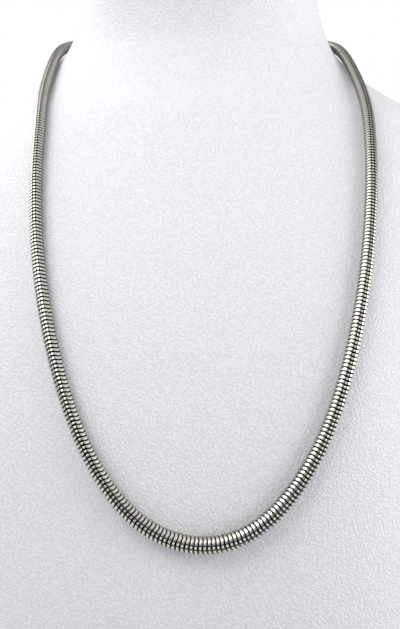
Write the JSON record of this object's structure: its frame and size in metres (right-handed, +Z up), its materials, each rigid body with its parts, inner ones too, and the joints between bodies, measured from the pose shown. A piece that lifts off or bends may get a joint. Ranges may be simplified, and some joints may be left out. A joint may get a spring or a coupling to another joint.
{
  "type": "snake chain necklace on neck bust",
  "caption": "Graduated round snake chain, closed in a loop by a plain barrel clasp, lying on a leatherette-covered neck display bust with a flat base.",
  "frame": {"origin": "on the flat base of the bust, below the middle of the neck and chest", "axes": "+Z up, -Y the way the chest faces, +X to the right of someone who faces the chest"},
  "size_m": [0.218, 0.1609, 0.29],
  "materials": {
    "leatherette": "white leatherette with a fine pebbled grain, satin",
    "chain_metal": "polished silver-tone metal, bright on the links' crowns and dark between them",
    "clasp_metal": "polished silver-tone metal"
  },
  "bodies": {
    "root": {"bust": "leatherette", "snake_chain": "chain_metal", "clasp": "clasp_metal"}
  },
  "joints": []
}
